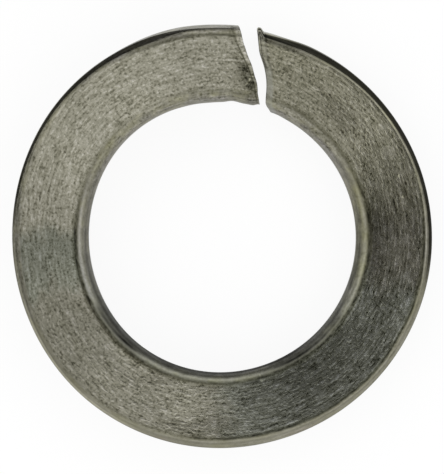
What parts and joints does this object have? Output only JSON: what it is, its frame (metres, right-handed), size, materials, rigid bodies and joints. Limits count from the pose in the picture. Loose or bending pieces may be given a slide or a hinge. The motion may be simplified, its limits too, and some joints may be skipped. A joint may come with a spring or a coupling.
{
  "type": "spring lock washer",
  "caption": "Split helical spring lock washer of rounded flat steel, with two slanted sprung ends.",
  "frame": {"origin": "on the bore's axis, level with the washer's lowest point", "axes": "+Z along the bore, from the low end's side to the high end's side; seen from above the coil climbs clockwise, and the split faces close to +Y, a little towards +X"},
  "size_m": [0.0396, 0.0396, 0.0104],
  "materials": {
    "spring_steel": "dull rolled and hardened, with fine scratches round the coil"
  },
  "bodies": {
    "root": {"spring_washer": "spring_steel"}
  },
  "joints": []
}
